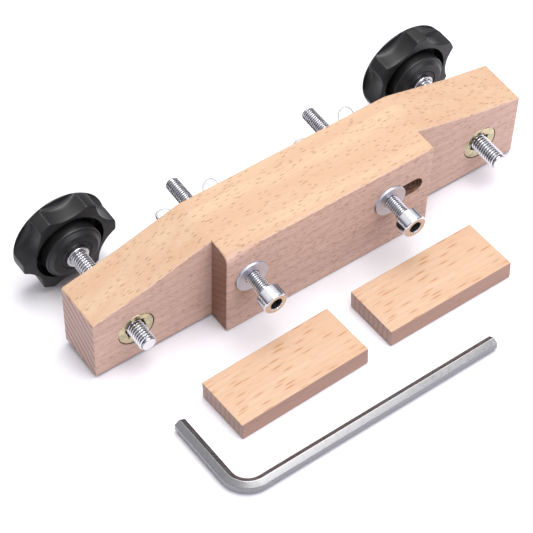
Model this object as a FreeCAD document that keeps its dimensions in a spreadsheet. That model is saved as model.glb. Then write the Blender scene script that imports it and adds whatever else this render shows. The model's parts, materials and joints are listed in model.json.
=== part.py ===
"""Beech clamping bar with two knob screws and two cap screws, two loose cauls and a hex key.

All lengths are in millimetres. The bar is drawn in a frame of its own: the origin is the middle
of the lower front edge of its centre block, +X runs along the bar, +Y from the front to the back
and +Z up. The knobs are larger than the bar's ends are high, so a clamp that is laid down tips
forward about that edge until it rests on the edge and on a knob. REST is that small turn, and
every piece on the bar gets it. The cauls and the hex key lie flat beside it.
"""

import FreeCAD, Part

import math
import os

import Sketcher
from FreeCAD import Placement, Rotation, Vector

DIMENSIONS = {
    # Beech bar
    "bar_length": 170.0,
    "board_thickness": 18.5,
    "block_depth": 8.6,
    "block_width": 81.2,
    "centre_height": 38.3,
    "end_height": 26.9,
    "shoulder_height": 30.9,
    "shoulder_spacing": 133.0,
    "edge_ease": 0.5,
    "rest_tilt": 4.6,
    # Knob screws: M6 studs in flanged inserts
    "stud_spacing": 138.5,
    "stud_height": 14.0,
    "stud_radius": 3.0,
    "stud_reach": 43.0,
    "stud_grip": 9.0,
    "stud_tip_chamfer": 0.7,
    "stud_bore_radius": 3.6,
    "left_hub_gap": 17.1,
    "right_hub_gap": 14.0,
    "insert_flange_radius": 6.5,
    "insert_flange_thickness": 1.2,
    "insert_length": 13.0,
    "insert_root_radius": 4.4,
    "insert_crest_radius": 5.0,
    "insert_rib_pitch": 2.2,
    "insert_thread_radius": 3.05,
    "insert_drive_width": 7.0,
    "insert_drive_depth": 2.6,
    "insert_play": 0.05,
    "collar_radius": 4.1,
    "collar_thickness": 1.2,
    # Star knobs
    "knob_radius": 17.5,
    "knob_hub_radius": 8.6,
    "knob_shoulder_radius": 10.2,
    "knob_shoulder_drop": 1.4,
    "knob_recess_radius": 12.6,
    "knob_recess_depth": 4.6,
    "knob_rim_drop": 3.8,
    "knob_rim_thickness": 8.6,
    "knob_crown_height": 1.2,
    "knob_rounding": 2.6,
    "knob_back_band": 1.4,
    "knob_face_ease": 0.5,
    "knob_bore_radius": 3.0,
    "scallop_radius": 13.9,
    "scallop_distance": 28.2,
    "scallop_count": 6,
    # Cap screws: M5, with washers and wing nuts
    "left_screw_x": -31.4,
    "right_screw_x": 23.4,
    "screw_height": 23.6,
    "screw_radius": 2.5,
    "screw_length": 55.0,
    "screw_head_radius": 4.25,
    "screw_head_height": 5.0,
    "screw_head_ease": 0.45,
    "socket_width": 4.05,
    "socket_depth": 2.6,
    "screw_gap": 8.2,
    "screw_bore_radius": 2.8,
    "slot_width": 6.2,
    "slot_left": 22.2,
    "slot_right": 33.9,
    "washer_radius": 6.0,
    "washer_bore_radius": 2.6,
    "washer_thickness": 1.0,
    "nut_base_radius": 4.6,
    "nut_top_radius": 3.7,
    "nut_boss_height": 5.6,
    "nut_bore_radius": 2.56,
    "wing_reach": 12.0,
    "wing_height": 11.0,
    "wing_thickness": 2.1,
    # Loose cauls and hex key
    "caul_length": 49.6,
    "caul_width": 21.4,
    "caul_thickness": 7.0,
    "caul_ease": 0.4,
    "left_caul_x": -36.5,
    "left_caul_y": -27.4,
    "left_caul_turn": 1.7,
    "right_caul_x": 23.1,
    "right_caul_y": -25.4,
    "right_caul_turn": 0.5,
    "key_width": 4.0,
    "key_long_arm": 98.7,
    "key_short_arm": 33.4,
    "key_bend_radius": 8.0,
    "key_corner_x": -73.8,
    "key_corner_y": -57.0,
    "key_turn": 0.8,
}

BACKWARDS = Rotation(Vector(1, 0, 0), -90)  # turns a piece's own +Z to the bar's +Y
REST = Placement(Vector(0, 0, 0), Rotation(Vector(1, 0, 0), DIMENSIONS["rest_tilt"]))

doc = FreeCAD.newDocument("ClampingBar")


class Size:
    """A length with the spreadsheet expression that drives it."""

    def __init__(self, value, text):
        self.value = value
        self.text = text

    def _combine(self, sign, other, value):
        text = other.text if isinstance(other, Size) else repr(other)
        return Size(value, f"({self.text} {sign} {text})")

    def __add__(self, other):
        return self._combine("+", other, self.value + number(other))

    def __sub__(self, other):
        return self._combine("-", other, self.value - number(other))

    def __mul__(self, other):
        return self._combine("*", other, self.value * number(other))

    def __truediv__(self, other):
        return self._combine("/", other, self.value / number(other))

    def __neg__(self):
        return Size(-self.value, f"(-1 * {self.text})")


def number(size):
    return size.value if isinstance(size, Size) else float(size)


def dim(name):
    """The named driving dimension, as a Size."""
    return Size(DIMENSIONS[name], f"Dimensions.{name}")


def bind(target, path, size):
    """Drive a property or constraint from the spreadsheet."""
    target.setExpression(path, size.text)


def make_sheet():
    """Put the driving dimensions into the spreadsheet, one aliased cell each."""
    sheet = doc.addObject("Spreadsheet::Sheet", "Dimensions")
    for row, (alias, value) in enumerate(DIMENSIONS.items(), start=1):
        sheet.set(f"A{row}", alias.replace("_", " "))
        sheet.set(f"B{row}", str(value))
        sheet.setAlias(f"B{row}", alias)
    doc.recompute()


# Sketches and features


def new_body(label):
    body = doc.addObject("PartDesign::Body", label)
    body.Label = label
    return body


def plane_sketch(body, name, role, lift=None):
    """A sketch on one of the body's origin planes, moved along the plane's normal by lift."""
    sketch = body.newObject("Sketcher::SketchObject", name)
    plane = next(item for item in body.Origin.OriginFeatures if item.Role == role)
    sketch.AttachmentSupport = [(plane, "")]
    sketch.MapMode = "FlatFace"
    if lift is not None:
        sketch.AttachmentOffset = Placement(Vector(0, 0, lift.value), Rotation())
        bind(sketch, "AttachmentOffset.Base.z", lift)
    return sketch


def pin_point(sketch, geometry, end, along_x, along_y):
    """Hold a point of a sketch at a driven distance from the origin along both axes."""
    for kind, size, axis in (("DistanceX", along_x, -2), ("DistanceY", along_y, -1)):
        if number(size) == 0.0:
            sketch.addConstraint(Sketcher.Constraint("PointOnObject", geometry, end, axis))
            continue
        spot = Sketcher.Constraint(kind, -1, 1, geometry, end, number(size))
        index = sketch.addConstraint(spot)
        if isinstance(size, Size):
            bind(sketch, f"Constraints[{index}]", size)


def outline(sketch, corners):
    """A closed run of straight lines through driven corners."""
    spots = [Vector(number(x), number(y), 0) for x, y in corners]
    first = sketch.GeometryCount
    count = len(spots)
    for i, spot in enumerate(spots):
        sketch.addGeometry(Part.LineSegment(spot, spots[(i + 1) % count]), False)
    for i in range(count):
        follower = first + (i + 1) % count
        sketch.addConstraint(Sketcher.Constraint("Coincident", first + i, 2, follower, 1))
    for i, (x, y) in enumerate(corners):
        pin_point(sketch, first + i, 1, x, y)


def circle(sketch, x, y, radius):
    """A circle with a driven centre and radius."""
    centre = Vector(number(x), number(y), 0)
    geometry = sketch.addGeometry(Part.Circle(centre, Vector(0, 0, 1), radius.value), False)
    pin_point(sketch, geometry, 3, x, y)
    index = sketch.addConstraint(Sketcher.Constraint("Radius", geometry, radius.value))
    bind(sketch, f"Constraints[{index}]", radius)


def rectangle(sketch, left, right, bottom, top):
    outline(sketch, [(left, bottom), (right, bottom), (right, top), (left, top)])


def hexagon(sketch, width, turn=0.0):
    """A hexagon about the origin, with width across its flats; turn moves its first corner."""
    radius = width / math.sqrt(3)
    angles = [math.radians(turn + 60 * i) for i in range(6)]
    outline(sketch, [(radius * round(math.cos(a), 9), radius * round(math.sin(a), 9)) for a in angles])


def pad(body, sketch, length, reverse=False, midplane=False):
    feature = body.newObject("PartDesign::Pad", f"{sketch.Name}_pad")
    feature.Profile = sketch
    feature.Reversed = reverse
    feature.SideType = "Symmetric" if midplane else "One side"
    bind(feature, "Length", length)
    sketch.Visibility = False
    return feature


def pocket(body, sketch, depth=None, reverse=False):
    """A pocket of the given depth, or right through the body, which has to remove material."""
    doc.recompute()
    before = body.Shape.Volume
    feature = body.newObject("PartDesign::Pocket", f"{sketch.Name}_pocket")
    feature.Profile = sketch
    feature.Reversed = reverse
    if depth is None:
        feature.Type = "ThroughAll"
    else:
        bind(feature, "Length", depth)
    doc.recompute()
    if not body.Shape.Volume < before:
        raise RuntimeError(f"{feature.Name} removes nothing")
    return feature


def revolve(body, sketch):
    """A full turn of a sketch, drawn on the XZ plane, about the body's own Z axis."""
    feature = body.newObject("PartDesign::Revolution", f"{sketch.Name}_turned")
    feature.Profile = sketch
    axis = next(item for item in body.Origin.OriginFeatures if item.Role == "Z_Axis")
    feature.ReferenceAxis = (axis, [""])
    feature.Angle = 360
    doc.recompute()
    return feature


def edges_where(feature, test):
    """The names of the feature's edges whose middle and length pass the test."""
    names = []
    for i, edge in enumerate(feature.Shape.Edges, start=1):
        middle = edge.valueAt((edge.FirstParameter + edge.LastParameter) / 2)
        if test(middle, edge):
            names.append(f"Edge{i}")
    return names


def dress(body, kind, size, test):
    """A Fillet or Chamfer of the driven size on the edges that pass the test."""
    doc.recompute()
    base = body.Tip
    feature = body.newObject(f"PartDesign::{kind}", f"{body.Name}_{kind.lower()}")
    feature.Base = (base, edges_where(base, test))
    bind(feature, "Radius" if kind == "Fillet" else "Size", size)
    doc.recompute()
    return feature


def on_bar(body, x, y, z, turn=Rotation()):
    """Stand a piece at a point of the bar's frame, tipped with the bar."""
    body.Placement = REST.multiply(Placement(Vector(number(x), number(y), number(z)), turn))


# Beech bar


def board_corners():
    """The board seen from the front: flat in the middle, sloping in two stages to each end."""
    end = dim("bar_length") / 2
    shoulder = dim("shoulder_spacing") / 2
    crest = dim("block_width") / 2
    right = [
        (end, 0),
        (end, dim("end_height")),
        (shoulder, dim("shoulder_height")),
        (crest, dim("centre_height")),
    ]
    return right + [(-x, height) for x, height in reversed(right)]


def insert_pocket(body, name, x):
    """The stepped bore for a flanged insert, and the stud's clearance hole behind it."""
    play = dim("insert_play")
    height = dim("stud_height")
    front = -dim("block_depth")
    steps = (
        ("flange", dim("insert_flange_radius") + play, dim("insert_flange_thickness")),
        ("thread", dim("insert_crest_radius") + play, dim("insert_length") + 1),
        ("stud", dim("stud_bore_radius"), None),
    )
    for step, radius, depth in steps:
        sketch = plane_sketch(body, f"{name}_{step}_hole", "XZ_Plane", front)
        circle(sketch, x, height, radius)
        pocket(body, sketch, depth)


def make_bar():
    """The bar: a board, a thicker centre block in one piece with it, and its holes."""
    body = new_body("beech_bar")
    board = plane_sketch(body, "board", "XZ_Plane", -dim("block_depth"))
    outline(board, board_corners())
    pad(body, board, dim("board_thickness"), reverse=True)
    shoulder_edges = DIMENSIONS["shoulder_spacing"] / 2 + 1

    def eased(middle, edge):
        across_top = edge.Length < DIMENSIONS["board_thickness"] + 0.01 and abs(middle.x) < shoulder_edges
        return not across_top

    dress(body, "Fillet", dim("edge_ease"), eased)
    crest = dim("block_width") / 2
    block = plane_sketch(body, "block", "XZ_Plane")
    rectangle(block, -crest, crest, 0, dim("centre_height"))
    pad(body, block, dim("block_depth") + dim("edge_ease") * 2, reverse=True)
    dress(body, "Fillet", dim("edge_ease"), lambda middle, edge: middle.y < 0.01)
    for side, sign in (("left", -1), ("right", 1)):
        insert_pocket(body, side, dim("stud_spacing") * (0.5 * sign))
    height = dim("screw_height")
    hole = plane_sketch(body, "screw_hole", "XZ_Plane")
    circle(hole, dim("left_screw_x"), height, dim("screw_bore_radius"))
    pocket(body, hole)
    slot_sketch(body, height)
    on_bar(body, 0, 0, 0)
    return body


def slot_sketch(body, height):
    """The slot for the other screw, with round ends, cut through block and board."""
    sketch = plane_sketch(body, "slot", "XZ_Plane")
    radius = dim("slot_width") / 2
    left, right = dim("slot_left"), dim("slot_right")
    up = Vector(0, 0, 1)
    ends = (
        (left, math.pi / 2, 3 * math.pi / 2),
        (right, -math.pi / 2, math.pi / 2),
    )
    arcs = []
    for x, start, stop in ends:
        rim = Part.Circle(Vector(x.value, height.value, 0), up, radius.value)
        arcs.append(sketch.addGeometry(Part.ArcOfCircle(rim, start, stop), False))
        pin_point(sketch, arcs[-1], 3, x, height)
    runs = []
    for offset in (radius.value, -radius.value):
        start = Vector(left.value, height.value + offset, 0)
        stop = Vector(right.value, height.value + offset, 0)
        runs.append(sketch.addGeometry(Part.LineSegment(start, stop), False))
    meetings = (
        (arcs[0], 1, runs[0], 1),
        (arcs[0], 2, runs[1], 1),
        (arcs[1], 2, runs[0], 2),
        (arcs[1], 1, runs[1], 2),
    )
    for arc, arc_end, run, run_end in meetings:
        sketch.addConstraint(Sketcher.Constraint("Tangent", arc, arc_end, run, run_end))
    index = sketch.addConstraint(Sketcher.Constraint("Radius", arcs[0], radius.value))
    bind(sketch, f"Constraints[{index}]", radius)
    pocket(body, sketch)


# Knob screws


def make_insert(label, x):
    """A flanged insert nut: flush flange, ribbed barrel and a hexagon drive in its mouth."""
    body = new_body(label)
    root = dim("insert_root_radius")
    crest = dim("insert_crest_radius")
    bore = dim("insert_thread_radius")
    flange = dim("insert_flange_thickness")
    pitch = dim("insert_rib_pitch")
    rim = dim("insert_flange_radius")
    corners = [(bore, 0), (rim, 0), (rim, flange), (root, flange)]
    for rib in range(4):
        start = flange + pitch * (rib + 0.5)
        corners += [(root, start), (crest, start + pitch * 0.35), (root, start + pitch * 0.7)]
    corners += [(root, dim("insert_length")), (bore, dim("insert_length"))]
    sketch = plane_sketch(body, f"{label}_section", "XZ_Plane")
    outline(sketch, corners)
    revolve(body, sketch)
    drive = plane_sketch(body, f"{label}_drive", "XY_Plane")
    hexagon(drive, dim("insert_drive_width"), 15)
    pocket(body, drive, dim("insert_drive_depth"), reverse=True)
    on_bar(body, x, dim("block_depth"), dim("stud_height"), BACKWARDS)
    return body


def make_stud(label, x, hub_y):
    """A threaded stud with a chamfered tip; its own origin is at the knob's hub face."""
    body = new_body(label)
    radius = dim("stud_radius")
    tip = -dim("stud_reach")
    chamfer = dim("stud_tip_chamfer")
    corners = [
        (0, tip),
        (radius - chamfer, tip),
        (radius, tip + chamfer),
        (radius, dim("stud_grip")),
        (0, dim("stud_grip")),
    ]
    sketch = plane_sketch(body, f"{label}_section", "XZ_Plane")
    outline(sketch, corners)
    revolve(body, sketch)
    on_bar(body, x, hub_y, dim("stud_height"), BACKWARDS)
    return body


def make_ring(label, bore, radius, thickness):
    """A washer or a collar with broken outer edges, from its own origin along +Z."""
    body = new_body(label)
    ease = thickness / 8
    corners = [
        (bore, 0),
        (radius - ease, 0),
        (radius, ease),
        (radius, thickness - ease),
        (radius - ease, thickness),
        (bore, thickness),
    ]
    sketch = plane_sketch(body, f"{label}_section", "XZ_Plane")
    outline(sketch, corners)
    revolve(body, sketch)
    return body


def knob_section(body, label):
    """Half the knob's section: hub, annular recess, rim and a gently crowned back."""
    hub = dim("knob_hub_radius")
    shoulder = dim("knob_shoulder_radius")
    drop = dim("knob_shoulder_drop")
    rim = dim("knob_rim_drop")
    floor = rim + dim("knob_recess_depth")
    back = rim + dim("knob_rim_thickness")
    radius = dim("knob_radius")
    rounding = dim("knob_rounding")
    corners = [
        (0, 0),
        (hub, 0),
        (shoulder, drop),
        (shoulder, floor),
        (dim("knob_recess_radius"), floor),
        (dim("knob_recess_radius"), rim),
        (radius, rim),
        (radius, back),
        (radius - rounding * 2, back),
        (radius / 2, back + dim("knob_crown_height")),
        (0, back + dim("knob_crown_height")),
    ]
    sketch = plane_sketch(body, f"{label}_section", "XZ_Plane")
    outline(sketch, corners)
    revolve(body, sketch)


def make_knob(label, x, hub_y, lobe_angle):
    """A six-lobed star knob, its hub face at its own origin and its back towards +Z.

    The scallops stop short of the back, so its outline there is a whole circle.
    """
    body = new_body(label)
    knob_section(body, label)
    back = dim("knob_rim_drop") + dim("knob_rim_thickness")
    outer = DIMENSIONS["knob_recess_radius"] + 1

    def at_back(middle, edge):
        return abs(middle.z - number(back)) < 0.01 and edge.BoundBox.XMax > outer

    def at_rim(middle, edge):
        low = abs(middle.z - DIMENSIONS["knob_rim_drop"]) < 0.01
        return low and math.hypot(middle.x, middle.y) > outer

    dress(body, "Fillet", dim("knob_rounding"), at_back)
    scallop = plane_sketch(body, f"{label}_scallop", "XY_Plane")
    circle(scallop, dim("scallop_distance"), 0, dim("scallop_radius"))
    cut = pocket(body, scallop, back - dim("knob_back_band"), reverse=True)
    pattern = body.newObject("PartDesign::PolarPattern", f"{label}_scallops")
    pattern.Originals = [cut]
    axis = next(item for item in body.Origin.OriginFeatures if item.Role == "Z_Axis")
    pattern.Axis = (axis, [""])
    pattern.Angle = 360
    bind(pattern, "Occurrences", dim("scallop_count"))
    body.Tip = pattern
    dress(body, "Fillet", dim("knob_face_ease"), at_rim)
    bore = plane_sketch(body, f"{label}_bore", "XY_Plane")
    circle(bore, 0, 0, dim("knob_bore_radius"))
    pocket(body, bore, dim("stud_grip"), reverse=True)
    spin = Rotation(Vector(0, 0, 1), -30 - lobe_angle)
    on_bar(body, x, hub_y, dim("stud_height"), BACKWARDS.multiply(spin))
    return body


def make_knob_screws():
    """Both ends: insert, stud, collar and knob."""
    back = dim("block_depth") + dim("board_thickness")
    for side, sign, lobe_angle in (("left", -1, -1), ("right", 1, 24)):
        x = dim("stud_spacing") * (0.5 * sign)
        hub_y = back + dim(f"{side}_hub_gap")
        make_insert(f"{side}_insert_nut", x)
        make_stud(f"{side}_knob_stud", x, hub_y)
        collar = make_ring(
            f"{side}_stud_collar",
            dim("stud_radius") + dim("insert_play"),
            dim("collar_radius"),
            dim("collar_thickness"),
        )
        on_bar(collar, x, hub_y - dim("collar_thickness"), dim("stud_height"), BACKWARDS)
        make_knob(f"{side}_star_knob", x, hub_y, lobe_angle)


# Cap screws


def make_cap_screw(label, x, head_y):
    """A socket head cap screw, with its head's face at its own origin and its tip towards +Z."""
    body = new_body(label)
    head = dim("screw_head_radius")
    ease = dim("screw_head_ease")
    height = dim("screw_head_height")
    shank = dim("screw_radius")
    tip = height + dim("screw_length")
    corners = [
        (0, 0),
        (head - ease, 0),
        (head, ease),
        (head, height),
        (shank, height),
        (shank, tip - ease),
        (shank - ease, tip),
        (0, tip),
    ]
    sketch = plane_sketch(body, f"{label}_section", "XZ_Plane")
    outline(sketch, corners)
    revolve(body, sketch)
    socket = plane_sketch(body, f"{label}_socket", "XY_Plane")
    hexagon(socket, dim("socket_width"), 10)
    pocket(body, socket, dim("socket_depth"), reverse=True)
    on_bar(body, x, head_y, dim("screw_height"), BACKWARDS)
    return body


def make_wing_nut(label, x, base_y, turn):
    """A wing nut: a tapered boss and two upright wings, its base at its own origin."""
    body = new_body(label)
    bore = dim("nut_bore_radius")
    section = plane_sketch(body, f"{label}_boss", "XZ_Plane")
    boss = dim("nut_boss_height")
    base, top = dim("nut_base_radius"), dim("nut_top_radius")
    outline(section, [(0, 0), (base, 0), (base, boss / 5), (top, boss), (0, boss)])
    revolve(body, section)
    reach, height = dim("wing_reach"), dim("wing_height")
    wing = [
        (1.0, height * 0.06),
        (reach * 0.36, height * 0.06),
        (reach * 0.66, height * 0.22),
        (reach * 0.93, height * 0.52),
        (reach, height * 0.74),
        (reach * 0.97, height * 0.91),
        (reach * 0.88, height),
        (reach * 0.66, height),
        (reach * 0.54, height * 0.88),
        (reach * 0.46, height * 0.66),
        (reach * 0.36, boss),
        (1.0, boss),
    ]
    for name, sign in (("right", 1), ("left", -1)):
        sketch = plane_sketch(body, f"{label}_{name}_wing", "XZ_Plane")
        outline(sketch, [(x_out * sign, up) for x_out, up in wing])
        pad(body, sketch, dim("wing_thickness"), midplane=True)

    hole = plane_sketch(body, f"{label}_hole", "XY_Plane")
    circle(hole, 0, 0, bore)
    pocket(body, hole, reverse=True)
    on_bar(body, x, base_y, dim("screw_height"), BACKWARDS.multiply(Rotation(Vector(0, 0, 1), turn)))
    return body


def make_cap_screws():
    """Both cap screws, each with a washer on the front, and a washer and wing nut at the back."""
    thickness = dim("washer_thickness")
    back = dim("block_depth") + dim("board_thickness")
    head_y = -(thickness + dim("screw_gap") + dim("screw_head_height"))
    for side, wing_turn in (("left", -9), ("right", -14)):
        x = dim(f"{side}_screw_x")
        for place, y in (("front", -thickness), ("rear", back)):
            washer = make_ring(
                f"{side}_{place}_washer", dim("washer_bore_radius"), dim("washer_radius"), thickness
            )
            on_bar(washer, x, y, dim("screw_height"), BACKWARDS)
        make_cap_screw(f"{side}_cap_screw", x, head_y)
        make_wing_nut(f"{side}_wing_nut", x, back + thickness, wing_turn)


# Loose pieces


def make_caul(side):
    """A small beech caul lying in front of the bar."""
    body = new_body(f"{side}_caul")
    length, width = dim("caul_length") / 2, dim("caul_width") / 2
    sketch = plane_sketch(body, f"{side}_caul_outline", "XY_Plane")
    rectangle(sketch, -length, length, -width, width)
    pad(body, sketch, dim("caul_thickness"))
    dress(body, "Fillet", dim("caul_ease"), lambda middle, edge: True)
    spot = Vector(DIMENSIONS[f"{side}_caul_x"], DIMENSIONS[f"{side}_caul_y"], 0)
    body.Placement = Placement(spot, Rotation(Vector(0, 0, 1), DIMENSIONS[f"{side}_caul_turn"]))
    return body


def make_hex_key():
    """An L-shaped hex key lying on one corner of its hexagon, its bend at its own origin."""
    body = new_body("hex_key")
    profile = plane_sketch(body, "key_hexagon", "YZ_Plane", dim("key_long_arm"))
    hexagon(profile, dim("key_width"), 30)
    spine = plane_sketch(body, "key_path", "XY_Plane")
    bend = dim("key_bend_radius")
    tip = Vector(DIMENSIONS["key_long_arm"], 0, 0)
    turn_in = Vector(bend.value, 0, 0)
    turn_out = Vector(0, bend.value, 0)
    end = Vector(0, DIMENSIONS["key_short_arm"], 0)
    long_arm = spine.addGeometry(Part.LineSegment(tip, turn_in), False)
    rim = Part.Circle(Vector(bend.value, bend.value, 0), Vector(0, 0, 1), bend.value)
    corner = spine.addGeometry(Part.ArcOfCircle(rim, math.pi, 3 * math.pi / 2), False)
    short_arm = spine.addGeometry(Part.LineSegment(turn_out, end), False)
    spine.addConstraint(Sketcher.Constraint("Tangent", long_arm, 2, corner, 2))
    spine.addConstraint(Sketcher.Constraint("Tangent", corner, 1, short_arm, 1))
    pin_point(spine, long_arm, 1, dim("key_long_arm"), 0)
    pin_point(spine, short_arm, 2, 0, dim("key_short_arm"))
    pin_point(spine, corner, 3, bend, bend)
    doc.recompute()
    pipe = body.newObject("PartDesign::AdditivePipe", "key_rod")
    pipe.Profile = profile
    pipe.Spine = spine
    doc.recompute()
    ends = (DIMENSIONS["key_long_arm"], DIMENSIONS["key_short_arm"])

    def at_end(middle, edge):
        return abs(middle.x - ends[0]) < 0.01 or abs(middle.y - ends[1]) < 0.01

    dress(body, "Chamfer", dim("key_width") / 14, at_end)
    height = DIMENSIONS["key_width"] / math.sqrt(3)
    spot = Vector(DIMENSIONS["key_corner_x"], DIMENSIONS["key_corner_y"], height)
    body.Placement = Placement(spot, Rotation(Vector(0, 0, 1), DIMENSIONS["key_turn"]))
    return body


def check_document():
    """Stop if any object failed to compute or any body isn't one valid solid."""
    doc.recompute()
    for item in doc.Objects:
        if "Invalid" in item.State or "Error" in item.State:
            raise RuntimeError(f"{item.Name} failed: {item.State}")
    for body in bodies():
        shape = body.Shape
        if shape.isNull() or not shape.isValid() or len(shape.Solids) != 1:
            raise RuntimeError(f"{body.Label} isn't one valid solid")


def bodies():
    return [item for item in doc.Objects if item.TypeId == "PartDesign::Body"]


def main():
    make_sheet()
    make_bar()
    make_knob_screws()
    make_cap_screws()
    for side in ("left", "right"):
        make_caul(side)
    make_hex_key()
    check_document()
    os.makedirs("parts", exist_ok=True)
    for body in bodies():
        body.Shape.exportStep(f"parts/{body.Label}.step")
        box = body.Shape.BoundBox
        print(f"{body.Label}: {body.Shape.Volume:.1f} mm3, lowest {box.ZMin:.2f}, highest {box.ZMax:.2f}")


main()
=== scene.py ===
"""A beech clamping bar with its knob screws, cap screws, cauls and hex key.

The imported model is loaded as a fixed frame, and every piece is made at its place in it and rides on
the frame's bodies. Profiles and outlines are written in millimetres and scaled once, when a mesh is
made. On the bar, a piece's own +Z runs along its screw, from the front of the bar to the back.
"""

import json
import math

import bmesh
import bpy
from bpy.props import FloatProperty, FloatVectorProperty, PointerProperty
from mathutils import Matrix, Vector


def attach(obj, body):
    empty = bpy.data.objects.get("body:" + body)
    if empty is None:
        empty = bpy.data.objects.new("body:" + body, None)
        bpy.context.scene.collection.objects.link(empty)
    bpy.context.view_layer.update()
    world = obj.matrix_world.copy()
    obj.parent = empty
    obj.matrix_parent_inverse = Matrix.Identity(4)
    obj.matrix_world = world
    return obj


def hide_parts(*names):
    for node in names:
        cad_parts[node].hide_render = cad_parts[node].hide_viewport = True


bl_info = {
    "name": "Beech Clamping Bar",
    "version": (1, 0, 0),
    "blender": (4, 5, 0),
    "location": "View3D > Sidebar > Clamp",
    "description": "Builds a beech clamping bar, its screws, knobs, cauls and hex key",
    "category": "Object",
}

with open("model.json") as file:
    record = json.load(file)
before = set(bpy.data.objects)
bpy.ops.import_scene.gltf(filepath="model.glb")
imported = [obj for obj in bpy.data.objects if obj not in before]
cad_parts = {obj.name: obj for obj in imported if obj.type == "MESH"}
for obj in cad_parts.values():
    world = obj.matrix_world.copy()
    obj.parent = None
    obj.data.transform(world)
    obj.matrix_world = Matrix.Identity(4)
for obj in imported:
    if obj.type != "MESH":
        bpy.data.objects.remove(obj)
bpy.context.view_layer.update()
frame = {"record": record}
JOINTS = {joint["name"]: joint for joint in frame["record"]["behaviour"]["joints"]}

MM = 0.001
SIDES = ("left", "right")
DRAW_AXIS = JOINTS["left_draw"]["axis"]
REST = Matrix.Rotation(math.atan2(DRAW_AXIS[2], DRAW_AXIS[1]), 4, "X")  # the bar lies tipped forward
BACKWARDS = Matrix.Rotation(-math.pi / 2, 4, "X")
ROUND = 96  # points round a turned piece, a multiple of six so that hexagons keep their corners
SHARP = math.radians(28)


def linear(code):
    """An sRGB hex colour as linear RGBA."""
    channels = [int(code[i : i + 2], 16) / 255 for i in (1, 3, 5)]
    return tuple(c / 12.92 if c <= 0.04045 else ((c + 0.055) / 1.055) ** 2.4 for c in channels) + (1.0,)


def colour(name, description, code):
    return FloatVectorProperty(
        name=name, description=description, subtype="COLOR", size=4, min=0, max=1, default=linear(code)
    )


def length(name, description, millimetres):
    return FloatProperty(
        name=name, description=description, unit="LENGTH", min=0, precision=5, default=millimetres * MM
    )


# Sizes and colours that can be changed


class BarSettings(bpy.types.PropertyGroup):
    edge_ease: length("Edge ease", "Radius that sanding leaves on the bar's edges", 0.6)
    crest_blend: length("Crest blend", "Half the width over which the top changes slope", 1.6)
    worn_radius: length("Worn corner", "Radius of the worn upper left corner of the block", 3.6)
    worn_length: length("Worn length", "How far the worn corner takes to fade out", 17.0)
    ring_spacing: length("Ring spacing", "Distance between two growth rings", 3.4)
    tan: colour("Tan", "Early wood", "#AF977D")
    warm: colour("Warm", "Figure between the early wood", "#A98B71")
    late: colour("Late wood", "Thin dark lines at the end of each ring", "#A5846D")
    side: colour("Side grain", "The quarter-sawn front, pinker than the top", "#C0A294")
    fleck: colour("Fleck", "Short rays cut through by the saw", "#76513A")
    end_grain: colour("End grain", "Open pores at the ends", "#BFA49C")
    # Painted shade: the block's two ends stand in the corners between the block and the arms, and this darker
    # colour stands in for the shade there
    block_end_shade: colour("Block end shade", "Painted shade on the end grain at the two ends of the block", "#8A6556")
    # Painted shade: this dark colour on the walls of the bores and the slot stands in for the shade inside them
    bore_shade: colour("Bore shade", "Painted shade on the walls of the bores and the slot", "#4A2F1F")


class CaulSettings(bpy.types.PropertyGroup):
    edge_ease: length("Edge ease", "Radius on the cauls' edges", 0.35)
    tan: colour("Tan", "Early wood", "#B29981")
    warm: colour("Warm", "Figure between the early wood", "#AE9076")
    late: colour("Late wood", "Thin dark lines at the end of each ring", "#A68670")
    side: colour("Side grain", "The flat-sawn edges, pinker than the face", "#93746A")
    fleck: colour("Ray", "Broad rays on the quarter-sawn face", "#9A6C48")
    end_grain: colour("End grain", "Open pores at the ends", "#A3918E")


class KnobSettings(bpy.types.PropertyGroup):
    lobe_rounding: length("Lobe rounding", "Softness where a lobe meets a scallop", 0.4)
    back_rounding: length("Back rounding", "Radius of the rim's back edge", 2.6)
    plastic: colour("Plastic", "Moulded black", "#0B0B0C")
    grain: length("Grain", "Size of the mould's grain", 0.35)


class HardwareSettings(bpy.types.PropertyGroup):
    bright: colour("Bright zinc", "Screws, studs, nuts and key", "#E0E0E4")
    # Painted shade: this dark colour in the thread roots and sockets stands in for the shade there
    root_shade: colour("Root shade", "Painted shade in the thread roots and sockets", "#2A292C")
    washer: colour("Washer", "Stamped and barrelled zinc", "#D9D9E2")
    chromate: colour("Chromate", "Yellow-green passivated inserts", "#C9BF9B")
    blush: colour("Blush", "Pink cast of the chromate", "#C9A88D")
    olive: colour("Olive", "Green cast of the chromate", "#A9A788")


class StudioSettings(bpy.types.PropertyGroup):
    floor: colour("Floor", "Pale floor", "#D5D4D9")
    lens: FloatProperty(name="Lens", description="Focal length on a 36 mm sensor, in millimetres", default=139.66)
    distance: length("Distance", "From the camera to what it looks at", 671.17)
    azimuth: FloatProperty(name="Azimuth", subtype="ANGLE", default=math.radians(-33.28))
    elevation: FloatProperty(name="Elevation", subtype="ANGLE", default=math.radians(48.58))
    roll: FloatProperty(name="Roll", subtype="ANGLE", default=math.radians(-2.31))


# Meshes


def ring(bm, radii, height):
    """A closed ring of points about the Z axis: one radius for each point, or one for all."""
    if not isinstance(radii, (list, tuple)):
        if radii == 0:
            return [bm.verts.new((0, 0, height))]
        radii = [radii] * ROUND
    step = math.tau / len(radii)
    return [bm.verts.new((r * math.cos(i * step), r * math.sin(i * step), height)) for i, r in enumerate(radii)]


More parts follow.
